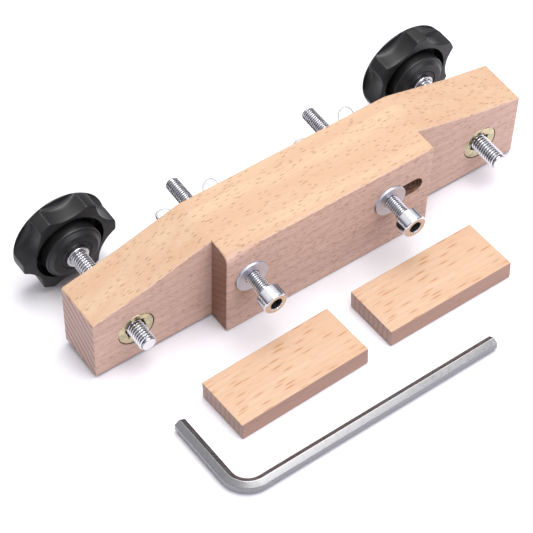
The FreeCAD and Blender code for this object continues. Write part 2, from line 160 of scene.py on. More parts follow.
def skin(bm, rings, closed=False):
    """Faces between rings in turn. A ring of one point is a tip; closed joins the last to the first."""
    pairs = list(zip(rings, rings[1:] + rings[:1])) if closed else list(zip(rings, rings[1:]))
    for low, high in pairs:
        count = max(len(low), len(high))
        for i in range(count):
            j = (i + 1) % count
            if len(low) == 1:
                bm.faces.new((low[0], high[j], high[i]))
            elif len(high) == 1:
                bm.faces.new((low[i], low[j], high[0]))
            else:
                bm.faces.new((low[i], low[j], high[j], high[i]))


def lid(bm, points):
    """A flat face across a ring."""
    bm.faces.new(points)


def arc(centre, radius, start, stop, steps):
    """Points along an arc, in degrees, both ends included."""
    angles = [math.radians(start + (stop - start) * i / steps) for i in range(steps + 1)]
    return [(centre[0] + radius * math.cos(a), centre[1] + radius * math.sin(a)) for a in angles]


def turned(bm, profile, closed=False):
    """A turned solid from (radius, height) points."""
    skin(bm, [ring(bm, radius, height) for radius, height in profile], closed)


def hexagon(width):
    """The radii of a hexagon with that width across its flats."""
    step = 360 / ROUND
    return [width / 2 / math.cos(math.radians((i * step) % 60 - 30)) for i in range(ROUND)]


def eased_ring(inner, outer, low, high, ease):
    """The section of a ring with round edges, as a closed run of (radius, height) points."""
    corners = (
        (outer - ease, low + ease, -90, 0),
        (outer - ease, high - ease, 0, 90),
        (inner + ease, high - ease, 90, 180),
        (inner + ease, low + ease, 180, 270),
    )
    return [spot for x, y, start, stop in corners for spot in arc((x, y), ease, start, stop, 4)]


def finish_piece(name, bm, matrix, body, node, slot, finish=None, sharp=SHARP):
    """Turn a mesh drawn in millimetres into a piece that stands for the node and rides on the body."""
    bmesh.ops.scale(bm, vec=(MM, MM, MM), verts=bm.verts)
    bmesh.ops.recalc_face_normals(bm, faces=bm.faces)
    for face in bm.faces:
        face.smooth = True
    for edge in bm.edges:
        edge.smooth = not (edge.is_manifold and edge.calc_face_angle() > sharp)
    mesh = bpy.data.meshes.new(name)
    bm.to_mesh(mesh)
    bm.free()
    piece = bpy.data.objects.new(name, mesh)
    bpy.context.collection.objects.link(piece)
    piece.matrix_world = matrix
    piece.data.materials.append(finish_for(finish or slot))
    weighted = piece.modifiers.new("flat faces stay flat", "WEIGHTED_NORMAL")
    weighted.keep_sharp = True
    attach(piece, body)
    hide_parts(node)
    return piece


def combine(base, other, operation):
    """One mesh from two, by an exact boolean; both inputs are used up."""
    objects = []
    for bm in (base, other):
        bmesh.ops.recalc_face_normals(bm, faces=bm.faces)
        mesh = bpy.data.meshes.new("boolean input")
        bm.to_mesh(mesh)
        bm.free()
        objects.append(bpy.data.objects.new("boolean input", mesh))
        bpy.context.collection.objects.link(objects[-1])
    boolean = objects[0].modifiers.new("boolean", "BOOLEAN")
    boolean.operation = operation
    boolean.solver = "EXACT"
    boolean.object = objects[1]
    result = bmesh.new()
    result.from_object(objects[0], bpy.context.evaluated_depsgraph_get())
    for used in objects:
        mesh = used.data
        bpy.data.objects.remove(used)
        bpy.data.meshes.remove(mesh)
    return result


def peg(radius, start, stop, x, z):
    """A cutter along the bar's Y axis."""
    bm = bmesh.new()
    ends = [ring(bm, radius, height) for height in (start, stop)]
    skin(bm, ends)
    lid(bm, ends[0])
    lid(bm, ends[1])
    bmesh.ops.transform(bm, matrix=Matrix.Translation((x, 0, z)) @ BACKWARDS, verts=bm.verts)
    return bm


def on_bar(x, y, z, spin=0.0):
    """Where a piece whose own +Z runs backwards sits, from a point of the bar's own frame."""
    return REST @ Matrix.Translation(Vector((x, y, z)) * MM) @ BACKWARDS @ Matrix.Rotation(spin, 4, "Z")


def bar_point(joint):
    """A joint's point in the bar's own frame, in millimetres."""
    return REST.inverted() @ Vector(JOINTS[joint]["pos_m"]) / MM


# Materials


def feed(tree, socket, value):
    """Link another socket to this one, or set it to a plain value."""
    if isinstance(value, bpy.types.NodeSocket):
        tree.links.new(value, socket)
    else:
        socket.default_value = value


def add(tree, kind, inputs=None, **settings):
    """Add a node, with its settings, and with values or links for its inputs."""
    node = tree.nodes.new(kind)
    for name, value in settings.items():
        setattr(node, name, value)
    for socket, value in (inputs or {}).items():
        feed(tree, node.inputs[socket], value)
    return node


def new_material(name):
    """An empty material and its shader."""
    material = bpy.data.materials.new(name)
    material.use_nodes = True
    tree = material.node_tree
    tree.nodes.clear()
    shader = add(tree, "ShaderNodeBsdfPrincipled")
    add(tree, "ShaderNodeOutputMaterial", {"Surface": shader.outputs[0]})
    return material, tree, shader


def stretched(tree, scale, offset=(0, 0, 0), turn=(0, 0, 0)):
    """Object coordinates in pattern units: scale is units per millimetre along each axis."""
    coords = add(tree, "ShaderNodeTexCoord")
    return add(
        tree,
        "ShaderNodeMapping",
        {
            "Vector": coords.outputs["Object"],
            "Scale": [s / MM for s in scale],
            "Location": offset,
            "Rotation": turn,
        },
    ).outputs[0]


def ramp(tree, source, stops):
    """A colour or grey ramp over a value."""
    node = add(tree, "ShaderNodeValToRGB", {"Fac": source})
    while len(node.color_ramp.elements) < len(stops):
        node.color_ramp.elements.new(0.5)
    for element, (position, value) in zip(node.color_ramp.elements, stops):
        element.position = position
        element.color = value if isinstance(value, tuple) else (value, value, value, 1.0)
    return node.outputs[0]


def blend(tree, factor, first, second, mode="MIX"):
    """Two colours mixed by a factor; the mix node's colour sockets are its inputs 6 and 7."""
    inputs = {0: factor, 6: first, 7: second}
    return add(tree, "ShaderNodeMix", inputs, data_type="RGBA", blend_type=mode).outputs[2]


def noise(tree, scale, detail, roughness=0.5):
    """Noise over a piece, with as many units to a millimetre along each axis as scale says."""
    inputs = {"Vector": stretched(tree, scale), "Scale": 1.0, "Detail": detail, "Roughness": roughness}
    return add(tree, "ShaderNodeTexNoise", inputs).outputs["Fac"]


def dress(tree, shader, base, roughness, height, strength, depth):
    """Give a shader its colour, its roughness and a relief whose depth is in millimetres."""
    relief = add(tree, "ShaderNodeBump", {"Height": height, "Strength": strength, "Distance": depth * MM})
    feed(tree, shader.inputs["Base Color"], base)
    feed(tree, shader.inputs["Roughness"], roughness)
    feed(tree, shader.inputs["Normal"], relief.outputs[0])


def flecks(tree, size, amount, turn):
    """A mask of the rays that the saw cut through: one dash of random strength in each cell of that size."""
    cells = add(
        tree,
        "ShaderNodeTexVoronoi",
        {"Vector": stretched(tree, [1 / s for s in size], (3.1, 1.7, 0.4), turn), "Scale": 1.0},
    )
    chosen = ramp(tree, cells.outputs["Color"], [(1 - amount, 0.0), (min(1.0, 1.3 - amount), 1.0)])
    spot = ramp(tree, cells.outputs["Distance"], [(0.14, 1.0), (0.36, 0.0)])
    return blend(tree, 1.0, chosen, spot, "MULTIPLY")


def facing(tree, axis, start, stop):
    """A mask of the faces that look along an axis of the piece, either way."""
    normal = add(tree, "ShaderNodeTexCoord").outputs["Normal"]
    along = add(tree, "ShaderNodeSeparateXYZ", {"Vector": normal}).outputs[axis]
    size = add(tree, "ShaderNodeMath", {0: along}, operation="ABSOLUTE").outputs[0]
    return ramp(tree, size, [(start, 0.0), (stop, 1.0)])


def planed_beech(name, wood, end_grain, ring_spacing, pith, top_flecks, side_flecks):
    """Planed, unvarnished beech: rings about a far pith, fine fibres and rays cut through as flecks.

    The grain runs along X. What the eye sees is long soft bands, short dark dashes that lie in each
    face's own plane and, on the ends, the rings as arcs with darker, duller pores.
    """
    material, tree, shader = new_material(name)
    wave_unit = math.tau / 20  # the wave texture's own ring spacing at scale 1
    band = 1 / ring_spacing * wave_unit
    rings = add(
        tree,
        "ShaderNodeTexWave",
        {
            "Vector": stretched(tree, (band * 0.12, band, band), [-band * p for p in pith]),
            "Scale": 1.0,
            "Distortion": 2.2,
            "Detail": 2.0,
            "Detail Scale": 0.8,
            "Phase Offset": 1.3,
        },
        wave_type="RINGS",
        rings_direction="X",
        wave_profile="SAW",
    ).outputs["Fac"]
    figure = noise(tree, (0.018, 0.13, 0.13), 3.0)
    fibre = noise(tree, (0.16, 2.4, 2.4), 4.0, 0.65)
    side = facing(tree, "Y", 0.5, 0.75)
    rays = blend(tree, side, flecks(tree, *top_flecks), flecks(tree, *side_flecks))

    base = blend(tree, ramp(tree, figure, [(0.35, 0.0), (0.65, 1.0)]), tuple(wood.tan), tuple(wood.warm))
    base = blend(tree, side, base, tuple(wood.side))
    late = ramp(tree, rings, [(0.0, 0.0), (0.55, 0.05), (0.92, 0.36), (1.0, 0.0)])
    base = blend(tree, late, base, tuple(wood.late))
    base = blend(tree, ramp(tree, fibre, [(0.3, 0.55), (0.6, 0.0)]), base, tuple(wood.late))
    base = blend(tree, ramp(tree, rays, [(0.0, 0.0), (1.0, 0.85)]), base, tuple(wood.fleck))

    pores = noise(tree, (3.0, 3.0, 3.0), 2.0)
    arcs = ramp(tree, rings, [(0.0, 0.0), (0.55, 0.1), (0.92, 0.85), (1.0, 0.0)])
    ends = blend(tree, arcs, tuple(end_grain), tuple(wood.fleck))
    ends = blend(tree, ramp(tree, pores, [(0.35, 0.35), (0.6, 0.0)]), ends, tuple(wood.fleck))
    base = blend(tree, facing(tree, "X", 0.7, 0.85), base, ends)

    dress(tree, shader, base, ramp(tree, fibre, [(0.3, 0.62), (0.7, 0.5)]), fibre, 0.22, 0.12)
    shader.inputs["IOR"].default_value = 1.45
    shader.inputs["Specular IOR Level"].default_value = 0.35
    return material


def bar_beech():
    """Beech flat-sawn on top: rays show as thin dashes, about two millimetres long."""
    wood = bpy.context.scene.clamp_bar
    spacing, pith = wood.ring_spacing / MM, (0.0, 70.0, -66.0)
    on_top = ((3.0, 0.55, 4.0), 0.65, (0, 0, 0))
    in_front = ((2.8, 3.0, 0.5), 0.6, (0, 0, 0))
    return planed_beech("flat-sawn beech", wood, wood.end_grain, spacing, pith, on_top, in_front)


def block_end_shade_beech():
    """The end grain at the block's two ends, painted darker as shade for the corners between the block and the
    arms.
    """
    wood = bpy.context.scene.clamp_bar
    dashes = ((3.6, 0.5, 0.5), 0.6, (0, 0, 0))
    return planed_beech("beech with painted shade at the block ends", wood, wood.block_end_shade, 2.6, (0.0, -40.0, -46.0), dashes, dashes)


def bore_shade_beech():
    """Beech painted dark on the walls of the bores and the slot, as painted shade: darker and duller than the
    planed faces, with the fibres torn open.
    """
    wood = bpy.context.scene.clamp_bar
    material, tree, shader = new_material("beech with painted bore shade")
    torn = noise(tree, (0.5, 1.6, 1.6), 4.0, 0.6)
    base = blend(tree, ramp(tree, torn, [(0.35, 0.0), (0.7, 0.6)]), tuple(wood.bore_shade), tuple(wood.late))
    dress(tree, shader, base, 0.75, torn, 0.5, 0.15)
    shader.inputs["Specular IOR Level"].default_value = 0.25
    return material


def caul_beech():
    """Beech quarter-sawn on its face: rays lie in it as broad orange-brown dashes, a little aslant."""
    wood = bpy.context.scene.clamp_caul
    aslant = (0, 0, math.radians(-7))
    return planed_beech(
        "quarter-sawn beech",
        wood,
        wood.end_grain,
        2.4,
        (0.0, 160.0, 20.0),
        ((8.0, 1.25, 4.0), 0.8, aslant),
        ((7.0, 4.0, 0.5), 0.6, (0, 0, 0)),
    )


def bright_zinc(
    name="bright zinc-plated steel", depth=1.0, root=0.0, unshaded_ends=True, rough=(0.12, 0.24), scuffed=0.12
):
    """Bright zinc-plated steel: nearly a mirror, softened by the barrel it was plated in.

    Depth is how bright the plating is, and scuffed how deep its fine marks are. Within root millimetres
    of a piece's axis the colour is painted dark, as painted shade in the thread roots and sockets.
    """
    look = bpy.context.scene.clamp_hardware
    material, tree, shader = new_material(name)
    haze = noise(tree, (0.5, 0.5, 0.5), 3.0)
    scuffs = noise(tree, (3.0, 3.0, 0.8), 3.0)
    dull, clear = ([c * depth * share for c in look.bright[:3]] + [1.0] for share in (0.84, 1.0))
    base = blend(tree, haze, tuple(dull), tuple(clear))
    roughness = ramp(tree, haze, list(zip((0.3, 0.7), rough)))
    # Painted shade: within root of the axis, in the thread roots and the socket, the colour turns dark
    if root:
        flat = add(tree, "ShaderNodeVectorMath", {0: stretched(tree, (1, 1, 0))}, operation="LENGTH")
        reach = add(tree, "ShaderNodeMath", {0: flat.outputs["Value"], 1: 5.0}, operation="DIVIDE").outputs[0]
        unshaded = ramp(tree, reach, [((root - 0.12) / 5, 0.0), ((root + 0.22) / 5, 1.0)])
        # Faces that look along the axis, such as a stud's sawn tip, get no painted shade
        if unshaded_ends:
            unshaded = blend(tree, facing(tree, "Z", 0.95, 0.98), unshaded, (1.0, 1.0, 1.0, 1.0))
        base = blend(tree, unshaded, tuple(look.root_shade), base)
        roughness = blend(tree, unshaded, (0.45, 0.45, 0.45, 1.0), roughness)
    dress(tree, shader, base, roughness, scuffs, scuffed, 0.02)
    shader.inputs["Metallic"].default_value = 1.0
    return material


def stud_zinc():
    """The studs' plating, with painted shade in the roots between bright crests and none on the sawn tip."""
    return bright_zinc("zinc-plated M6 thread", root=2.48)


def key_zinc():
    """The key's plating, greyer than the screws' from handling."""
    return bright_zinc("handled zinc-plated steel", depth=0.36, rough=(0.26, 0.34), scuffed=0.03)


def screw_zinc():
    """The cap screws' plating, with painted shade in the thread roots and in the socket."""
    return bright_zinc("zinc-plated M5 screw", root=2.1, unshaded_ends=False)


def washer_zinc():
    """Stamped washers, plated in a barrel: an even grey with a soft sheen and fine knocks."""
    look = bpy.context.scene.clamp_hardware
    material, tree, shader = new_material("stamped zinc-plated steel")
    knocks = noise(tree, (2.2, 2.2, 2.2), 4.0)
    shade = [c * 0.8 for c in look.washer[:3]] + [1.0]
    base = blend(tree, knocks, tuple(shade), tuple(look.washer))
    dress(tree, shader, base, ramp(tree, knocks, [(0.3, 0.3), (0.7, 0.48)]), knocks, 0.25, 0.03)
    shader.inputs["Metallic"].default_value = 1.0
    return material


def yellow_chromate():
    """Yellow chromate over zinc: pale gold that drifts to pink and olive as the film's thickness varies."""
    look = bpy.context.scene.clamp_hardware
    material, tree, shader = new_material("yellow chromated steel")
    film = noise(tree, (0.32, 0.32, 0.32), 2.0)
    stops = [
        (0.30, tuple(look.blush)),
        (0.44, tuple(look.chromate)),
        (0.58, tuple(look.olive)),
        (0.70, tuple(look.chromate)),
    ]
    tree.links.new(ramp(tree, film, stops), shader.inputs["Base Color"])
    tree.links.new(ramp(tree, film, [(0.3, 0.2), (0.7, 0.34)]), shader.inputs["Roughness"])
    shader.inputs["Metallic"].default_value = 1.0
    return material


def moulded_plastic():
    """Black glass-filled nylon with a fine moulded grain: satin, with soft grey lights on its edges."""
    look = bpy.context.scene.clamp_knob
    material, tree, shader = new_material("moulded black nylon")
    fine = 1 / (look.grain / MM)
    grain = noise(tree, (fine, fine, fine), 3.0)
    flow = noise(tree, (0.12, 0.12, 0.3), 2.0)
    pale = [min(1.0, c * 1.7 + 0.002) for c in look.plastic[:3]] + [1.0]
    base = blend(tree, flow, tuple(look.plastic), tuple(pale))
    dress(tree, shader, base, ramp(tree, flow, [(0.3, 0.34), (0.7, 0.46)]), grain, 0.35, 0.03)
    shader.inputs["IOR"].default_value = 1.5
    shader.inputs["Specular IOR Level"].default_value = 0.38
    return material


FINISHES = {
    "beech": bar_beech,
    "caul_beech": caul_beech,
    "bright_steel": bright_zinc,
    "stud": stud_zinc,
    "cap_screw": screw_zinc,
    "key": key_zinc,
    "washer_steel": washer_zinc,
    "yellow_zinc": yellow_chromate,
    "knob_plastic": moulded_plastic,
}
made_finishes = {}


def finish_for(slot):
    """The material of a slot or of one kind of piece, made the first time that it is asked for."""
    if slot not in made_finishes:
        made_finishes[slot] = FINISHES[slot]()
    return made_finishes[slot]


# Beech bar, drawn in its own frame: X along it, Y from front to back, Z up

BAR_LENGTH = 170.0
BLOCK_DEPTH = 8.6
BAR_DEPTH = 27.1
BLOCK_WIDTH = 81.2
CREST_HEIGHT = 38.3
TOP_BREAKS = ((BLOCK_WIDTH / 2, CREST_HEIGHT), (66.5, 30.9), (BAR_LENGTH / 2, 26.9))
STUD_X = 69.25
STUD_Z = 14.0
FLANGE_BORE = 6.72
FLANGE_SEAT = 1.2
BARREL_BORE = 5.05
STUD_BORE = 3.6
SCREW_Z = 23.6
SCREW_HOLE = 2.8
SLOT_ENDS = (22.2, 33.9)
SLOT_RADIUS = 3.1


def top_height(x, half_blend):
    """The height of the bar's top, in straight slopes with a short blend at each break."""
    x = abs(x)
    slopes = [0.0]
    for (x0, z0), (x1, z1) in zip(TOP_BREAKS, TOP_BREAKS[1:]):
        slopes.append((z1 - z0) / (x1 - x0))
    height = CREST_HEIGHT
    for (at, _), before, after in zip(TOP_BREAKS, slopes, slopes[1:]):
        past = x - (at - half_blend)
        if past <= 0:
            break
        run = min(past, 2 * half_blend)
        height += (after - before) * (run * run / (4 * half_blend) + max(0.0, past - 2 * half_blend))
    return height


def board_section(bm, x, y0, y1, top, radii, inset):
    """One cross-section of the bar at x: a rectangle with round corners, drawn in by inset."""
    corners = (
        (y0, 0.0, 1, 1, 180, radii[0]),
        (y1, 0.0, -1, 1, 270, radii[1]),
        (y1, top, -1, -1, 0, radii[2]),
        (y0, top, 1, -1, 90, radii[3]),
    )
    points = []
    for y, z, inward_y, inward_z, start, radius in corners:
        centre = (y + inward_y * radius, z + inward_z * radius)
        points += arc(centre, max(radius - inset, 0.02), start, start + 90, 6)
    return [bm.verts.new((x, y, z)) for y, z in points]


def stations(low, high, ease, step):
    """Where the cross-sections stand, with how far each is drawn in to round the two ends."""
    quarter = [math.radians(90 * i / 4) for i in range(5)]
    start = [(low + ease * (1 - math.sin(a)), ease * (1 - math.cos(a))) for a in reversed(quarter)]
    stop = [(high - ease * (1 - math.sin(a)), ease * (1 - math.cos(a))) for a in quarter]
    count = round((high - low - 2 * ease) / step)
    middle = [(low + ease + (high - low - 2 * ease) * i / count, 0.0) for i in range(1, count)]
    return start + middle + stop


def loft(sections):
    """A closed solid through cross-sections, each a function that draws its ring."""
    bm = bmesh.new()
    rings = [section(bm) for section in sections]
    skin(bm, rings)
    lid(bm, rings[0])
    lid(bm, rings[-1])
    return bm


def make_board(settings):
    """The long board, whose top falls to both ends."""
    ease, blend_width = settings.edge_ease / MM, settings.crest_blend / MM
    half = BAR_LENGTH / 2

    def section(x, inset):
        return lambda bm: board_section(
            bm, x, BLOCK_DEPTH, BAR_DEPTH, top_height(x, blend_width), [ease] * 4, inset
        )

    return loft([section(x, inset) for x, inset in stations(-half, half, ease, 0.8)])


def make_block(settings):
    """The thicker block in the middle, its upper front edge worn round towards the left end."""
    ease, blend_width = settings.edge_ease / MM, settings.crest_blend / MM
    worn, fade = settings.worn_radius / MM, settings.worn_length / MM
    half = BLOCK_WIDTH / 2

    def section(x, inset):
        share = max(0.0, 1 - (x + half) / fade)
        radius = ease + (worn - ease) * share * share * (3 - 2 * share)
        radii = [ease, 0.05, 0.05, radius]
        return lambda bm: board_section(
            bm, x, 0.0, BLOCK_DEPTH + 2 * ease, top_height(x, blend_width) - 0.002, radii, inset
        )

    return loft([section(x, inset) for x, inset in stations(-half, half, ease, 0.8)])


def slot_cutter(left, right, radius):
    """A cutter with round ends, from before the block to behind the board."""
    bm = bmesh.new()
    outline = arc((right, SCREW_Z), radius, -90, 90, 32) + arc((left, SCREW_Z), radius, 90, 270, 32)
    ends = [[bm.verts.new((x, y, z)) for x, z in outline] for y in (-5.0, BAR_DEPTH + 5.0)]
    skin(bm, ends)
    lid(bm, ends[0])
    lid(bm, ends[1])
    return bm


def bar_cutters():
    """The bar's holes: two stepped bores for the inserts, one screw hole and the slot."""
    for x in (-STUD_X, STUD_X):
        yield peg(FLANGE_BORE, BLOCK_DEPTH - 2, BLOCK_DEPTH + FLANGE_SEAT, x, STUD_Z)
        yield peg(BARREL_BORE, BLOCK_DEPTH - 3, BLOCK_DEPTH + 14, x, STUD_Z)
        yield peg(STUD_BORE, BLOCK_DEPTH - 4, BAR_DEPTH + 5, x, STUD_Z)
    yield peg(SCREW_HOLE, -5, BAR_DEPTH + 5, bar_point("left_nut_turn").x, SCREW_Z)
    yield slot_cutter(*SLOT_ENDS, SLOT_RADIUS)


def in_bore(point):
    """Whether a point of the bar lies on the wall of a bore or of the slot."""
    screw = bar_point("left_nut_turn").x
    holes = [(x, x, STUD_Z, FLANGE_BORE) for x in (-STUD_X, STUD_X)]
    holes += [(*SLOT_ENDS, SCREW_Z, SLOT_RADIUS), (screw, screw, SCREW_Z, SCREW_HOLE)]
    return any(
        math.hypot(point.x - min(max(point.x, left), right), point.z - z) < radius + 0.02
        for left, right, z, radius in holes
    )


class CLAMP_OT_bar(bpy.types.Operator):
    """Add the beech bar with its block, bores and slot"""

    bl_idname = "clamp.bar"
    bl_label = "Beech Bar"

    def execute(self, context):
        settings = context.scene.clamp_bar
        bm = combine(make_board(settings), make_block(settings), "UNION")
        for cutter in bar_cutters():
            bm = combine(bm, cutter, "DIFFERENCE")
        for face in bm.faces:
            # Faces on the walls of the bores and the slot take the painted bore shade of material 1
            if all(in_bore(vert.co) for vert in face.verts):
                face.material_index = 1
            # Faces on the block's two ends take the painted shade of material 2
            elif abs(abs(face.calc_center_median().x) - BLOCK_WIDTH / 2) < 0.5 and abs(face.normal.x) > 0.9:
                face.material_index = 2
        bar = finish_piece("bar", bm, REST, "bar", "beech_bar", "beech")
        bar.data.materials.append(bore_shade_beech())
        bar.data.materials.append(block_end_shade_beech())
        bar.visible_glossy = False  # keeps the wood's warm tint off the black knobs and the plating
        return {"FINISHED"}


# Knob screws

INSERT_LENGTH = 13.0
STUD_REACH = 43.0
STUD_GRIP = 9.0
STUD_RADIUS = 3.0
LOBE_ANGLES = {"left": -1.0, "right": 24.0}
SCALLOP_RADIUS = 13.9
SCALLOP_DISTANCE = 28.2
KNOB_RADIUS = 17.5


def make_insert():
    """A flanged insert: a flush flange, a hexagon drive in its mouth and a coarsely ribbed barrel."""
    bm = bmesh.new()
    drive = hexagon(7.0)
    rings = [ring(bm, 3.05, INSERT_LENGTH), ring(bm, 3.05, 2.6), ring(bm, drive, 2.6), ring(bm, drive, 0.35)]
    rings += [ring(bm, 4.45, 0.0), ring(bm, 5.4, 0.06), ring(bm, 6.1, 0.0)]
    rings += [ring(bm, r, h) for r, h in arc((6.1, 0.4), 0.4, -90, 0, 4)[1:]]
    rings += [ring(bm, 6.5, 1.18), ring(bm, 4.4, 1.2)]
    for rib in range(4):
        start = 1.2 + 2.2 * (rib + 0.5)
        rings += [ring(bm, 4.4, start), ring(bm, 5.0, start + 0.75), ring(bm, 4.4, start + 1.5)]
    rings.append(ring(bm, 4.4, INSERT_LENGTH))
    skin(bm, rings, closed=True)
    return bm


class CLAMP_OT_inserts(bpy.types.Operator):
    """Add the flanged inserts that the knob screws run in"""

    bl_idname = "clamp.inserts"
    bl_label = "Insert Nuts"

    def execute(self, context):
        for side, turn in zip(SIDES, (15, 38)):
            spot = bar_point(f"{side}_knob_turn")
            matrix = on_bar(spot.x, BLOCK_DEPTH, spot.z, math.radians(turn))
            finish_piece(f"{side}_insert", make_insert(), matrix, "bar", f"{side}_insert_nut", "yellow_zinc")
        return {"FINISHED"}


def thread_cut(phase):
    """How deep the thread is cut, from 0 on its crest to 1 at its root, over one pitch."""
    away = abs(phase % 1.0 - 0.5) * 2  # 0 at the root, 1 at the crest
    return min(1.0, max(0.0, (0.88 - away) / (0.88 - 0.25)))


def thread(bm, radius, pitch, start, stop, points=48, steps=10):
    """A right-handed thread along +Z as rings, running out at its start and chamfered at its stop."""
    depth, chamfer = 0.61 * pitch, 0.6 * pitch
    count = round((stop - start) / pitch * steps)
    rings = []
    for level in range(count + 1):
        height = start + (stop - start) * level / count
        runout = min(1.0, (height - start) / pitch)
        limit = radius - max(0.0, chamfer - (stop - height))
        radii = []
        for i in range(points):
            cut = thread_cut(height / pitch - i / points + 0.5)
            radii.append(min(limit, radius - depth * cut * runout))
        rings.append(ring(bm, radii, height))
    return rings


def make_stud():
    """An M6 stud, drawn from the knob's hub towards its tip and then turned to face forwards."""
    bm = bmesh.new()
    rings = thread(bm, STUD_RADIUS, 1.0, -STUD_GRIP, STUD_REACH)
    lid(bm, rings[0])
    skin(bm, rings)
    tip = ring(bm, [1.2] * len(rings[0]), STUD_REACH)
    skin(bm, [rings[-1], tip])
    lid(bm, tip)
    bmesh.ops.rotate(bm, cent=(0, 0, 0), matrix=Matrix.Rotation(math.pi, 3, "X"), verts=bm.verts)
    return bm


class CLAMP_OT_studs(bpy.types.Operator):
    """Add the threaded studs of the knob screws"""

    bl_idname = "clamp.studs"
    bl_label = "Knob Studs"

    def execute(self, context):
        for side in SIDES:
            spot = bar_point(f"{side}_knob_turn")
            finish_piece(
                f"{side}_stud",
                make_stud(),
                on_bar(*spot),
                f"{side}_knob",
                f"{side}_knob_stud",
                "bright_steel",
                "stud",
            )
        return {"FINISHED"}


class CLAMP_OT_collars(bpy.types.Operator):
    """Add the small collars in front of the knobs' hubs"""

    bl_idname = "clamp.collars"
    bl_label = "Stud Collars"

    def execute(self, context):
        for side in SIDES:
            spot = bar_point(f"{side}_knob_turn")
            bm = bmesh.new()
            turned(bm, eased_ring(3.05, 4.1, -1.2, 0.0, 0.22), closed=True)
            finish_piece(
                f"{side}_collar",
                bm,
                on_bar(*spot),
                f"{side}_collar",
                f"{side}_stud_collar",
                "bright_steel",
            )
        return {"FINISHED"}


def star_outline(rounding, count=432):
    """The knob's outline as radii: a circle with six scallops, rounded where they meet."""
    radii = []
    for i in range(count):
        off = math.radians((i * 360 / count) % 60 - 30)
        reach = SCALLOP_DISTANCE * math.sin(off)
        scallop = KNOB_RADIUS + 5
        if abs(reach) < SCALLOP_RADIUS:
            scallop = SCALLOP_DISTANCE * math.cos(off) - math.sqrt(SCALLOP_RADIUS**2 - reach**2)
        near = max(rounding - abs(scallop - KNOB_RADIUS), 0.0) / rounding
        radii.append(min(scallop, KNOB_RADIUS) - near * near * rounding / 4)
    return radii


def make_knob(settings):
    """A star knob: a stepped hub, a deep annular recess, and scallops that run out before the crowned back."""
    star = star_outline(settings.lobe_rounding / MM)
    count = len(star)
    rounding = settings.back_rounding / MM
    rim_front, rim_back, floor, scallop_end, run_out, ease = 3.8, 12.4, 8.4, 11.0, 1.7, 0.4

    def wall(height):
        """The rim's radii at a height: lobes and scallops in front, a whole circle at the back."""
        sunk = max(0.0, height - (rim_back - rounding))
        whole = KNOB_RADIUS - rounding + math.sqrt(rounding**2 - min(sunk, rounding) ** 2)
        along = min(1.0, max(0.0, (height - scallop_end) / run_out + 1))
        rise = 0.93 * (1 - math.sqrt(1 - along * along)) + 0.07 * min(1.0, max(0.0, (height - scallop_end) / 0.2))
        return [min(whole, r + (whole - r) * rise) for r in star]

    bm = bmesh.new()
    profile = [(0.0, 8.9), (3.0, 8.9), (3.0, 0.25), (3.3, 0.0), (5.3, 0.0), (5.5, 0.25), (5.8, 0.25), (6.0, 0.0)]
    profile += arc((8.2, 0.4), 0.4, -90, -20, 4)
    profile += [(9.6, 1.25)] + arc((9.7, 1.95), 0.7, -70, 0, 4)
    profile += [(10.4, floor - 0.5), (10.6, floor - 0.1), (10.9, floor)]
    profile += [(12.1, floor), (12.5, floor - 0.4), (12.6, floor - 0.8)]
    profile += [(12.6, rim_front + 0.3), (12.7, rim_front + 0.06), (12.9, rim_front)]
    rings = [ring(bm, [r] * count if r else 0, h) for r, h in profile]
    for inset, height in arc((ease, rim_front + ease), ease, 270, 180, 4):
        rings.append(ring(bm, [r - inset for r in wall(height)], height))
    steps = [5.4, 6.8, 8.2, 9.3]
    steps += [scallop_end - run_out * (1 - share) for share in (0.3, 0.5, 0.66, 0.8, 0.9, 0.96, 0.99, 1.0)]
    steps += [scallop_end + 0.2]
    steps += [rim_back - rounding + rounding * math.sin(math.radians(a)) for a in (38, 48, 58, 68, 78, 90)]
    for height in steps:
        rings.append(ring(bm, wall(height), height))
    crown = KNOB_RADIUS - rounding
    for share in (0.9, 0.78, 0.64, 0.5, 0.36, 0.22, 0.1):
        rings.append(ring(bm, [crown * share] * count, rim_back + 1.2 * (1 - share * share)))
    rings.append(ring(bm, 0, rim_back + 1.2))
    skin(bm, rings)
    return bm


class CLAMP_OT_knobs(bpy.types.Operator):
    """Add the black star knobs"""

    bl_idname = "clamp.knobs"
    bl_label = "Star Knobs"

    def execute(self, context):
        for side in SIDES:
            spot = bar_point(f"{side}_knob_turn")
            matrix = on_bar(*spot, -math.radians(LOBE_ANGLES[side]))
            finish_piece(
                f"{side}_knob_head",
                make_knob(context.scene.clamp_knob),
                matrix,
                f"{side}_knob",
                f"{side}_star_knob",
                "knob_plastic",
                sharp=math.radians(35),
            )
        return {"FINISHED"}


# Cap screws

HEAD_RADIUS = 4.25
HEAD_HEIGHT = 5.0
SCREW_LENGTH = 55.0
SCREW_RADIUS = 2.5
SCREW_GAP = 8.2
WASHER_THICKNESS = 1.0
SOCKET_TURNS = {"left": 20.0, "right": -8.0}
SCREW_BODIES = {
    "left": {"washers": "left_washers", "screw": "left_screw", "nut": "left_nut"},
    "right": {"washers": "right_carriage", "screw": "right_screw", "nut": "right_nut"},
}


